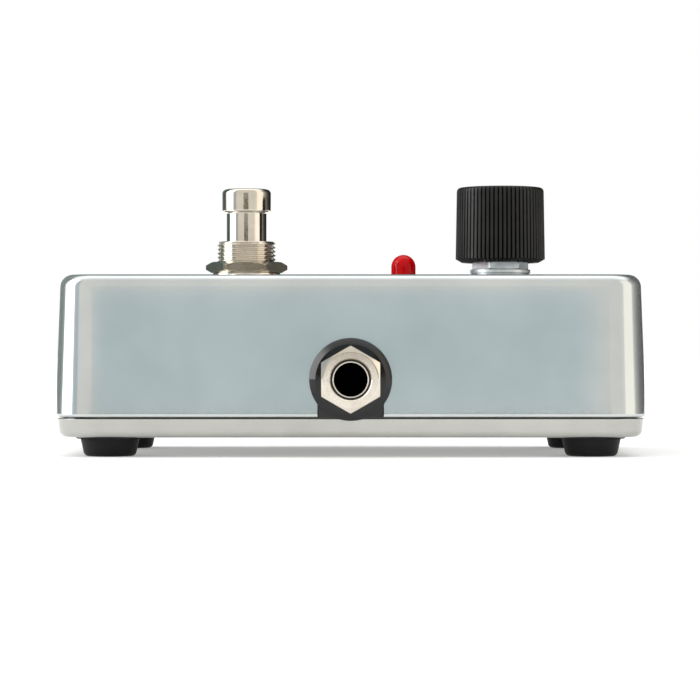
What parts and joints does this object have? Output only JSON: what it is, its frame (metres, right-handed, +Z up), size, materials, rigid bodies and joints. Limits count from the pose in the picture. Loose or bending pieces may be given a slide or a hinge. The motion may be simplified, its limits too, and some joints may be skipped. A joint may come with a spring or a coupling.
{
  "type": "guitar effects pedal",
  "caption": "Compact guitar effects pedal: polished cast box on rubber feet with a footswitch, a ribbed knob, a red lamp, side jacks and an end power socket.",
  "frame": {"origin": "centre of the pedal's box on the floor, at the underside of the rubber feet", "axes": "+X along the length from the footswitch end to the knob end, -Y towards the input jack, +Z up"},
  "size_m": [0.114, 0.0698, 0.0534],
  "materials": {
    "cast_aluminium": "polished die casting, clear coated",
    "cover_aluminium": "polished die casting, clear coated",
    "zinc_steel": "bright zinc plate",
    "screw_steel": "plated steel",
    "nickel_brass": "warm nickel plate",
    "spring_steel": "drawn wire",
    "black_rubber": "moulded",
    "black_adhesive": "foam tape",
    "black_nylon": "moulded, glossy",
    "knob_plastic": "moulded, matt",
    "pointer_paint": "inlaid line",
    "blue_moulding": "thermoset moulding",
    "brown_laminate": "paper laminate",
    "contact_silver": "silver plate",
    "contact_brass": "sprung strip",
    "grey_ribbon": "insulated flat cable",
    "red_epoxy": "clear tinted epoxy",
    "green_board": "solder mask over glass epoxy",
    "black_epoxy": "moulded package",
    "can_film": "sleeved cans and dipped film",
    "tan_resistor": "lacquered",
    "battery_can": "plain printed can",
    "lead_insulation": "insulated wire",
    "grey_foam": "closed-cell foam"
  },
  "bodies": {
    "pedal": {"enclosure_shell": "cast_aluminium", "base_cover": "cover_aluminium", "cover_screws": "screw_steel", "foot_front_right": "black_rubber", "foot_front_left": "black_rubber", "foot_rear_right": "black_rubber", "foot_rear_left": "black_rubber", "foot_pads": "black_adhesive", "switch_spring": "spring_steel", "switch_bushing": "nickel_brass", "switch_nut": "nickel_brass", "switch_washer": "nickel_brass", "switch_lock_washer": "nickel_brass", "switch_jam_nut": "nickel_brass", "switch_cradle": "zinc_steel", "switch_housing": "blue_moulding", "switch_terminal_board": "brown_laminate", "switch_lugs": "contact_silver", "switch_ribbon": "grey_ribbon", "pot_bushing": "zinc_steel", "pot_nut": "zinc_steel", "pot_washer": "zinc_steel", "pot_lock_washer": "zinc_steel", "pot_housing": "zinc_steel", "pot_wafer": "brown_laminate", "pot_pins": "contact_silver", "lamp_lens": "red_epoxy", "lamp_leads": "contact_silver", "lamp_spacer": "black_nylon", "input_jack_housing": "black_nylon", "input_jack_sleeve": "nickel_brass", "input_jack_nut": "nickel_brass", "input_jack_contact": "contact_brass", "output_jack_housing": "black_nylon", "output_jack_sleeve": "nickel_brass", "output_jack_nut": "nickel_brass", "output_jack_contact": "contact_brass", "power_jack_housing": "black_nylon", "power_jack_pin": "nickel_brass", "power_jack_contact": "contact_brass", "circuit_board": "green_board", "amplifier_chip": "black_epoxy", "transistors": "black_epoxy", "capacitors": "can_film", "resistors": "tan_resistor", "battery": "battery_can", "battery_terminals": "contact_silver", "battery_clip": "black_nylon", "battery_leads": "lead_insulation", "battery_foam": "grey_foam"},
    "footswitch_button": {"switch_button": "nickel_brass"},
    "rocker": {"switch_rocker": "contact_silver"},
    "control_knob": {"knob": "knob_plastic", "knob_pointer": "pointer_paint", "pot_shaft": "zinc_steel", "pot_wiper": "contact_brass"}
  },
  "joints": [
    {"name": "switch_press", "type": "slide", "parent": "pedal", "child": "footswitch_button", "axis": [0, 0, -1], "range_m": [0, 0.0026], "stiffness_N_per_m": 4000, "springref_m": -0.0015, "deforming": ["switch_spring"]},
    {"name": "rocker_tilt", "type": "hinge", "parent": "pedal", "child": "rocker", "pos_m": [-0.021, 0, 0.015], "axis": [0, 1, 0], "range_deg": [-12, 12]},
    {"name": "knob_turn", "type": "hinge", "parent": "pedal", "child": "control_knob", "pos_m": [0.0302, 0, 0.0381], "axis": [0, 0, 1], "range_deg": [-150, 150]}
  ]
}
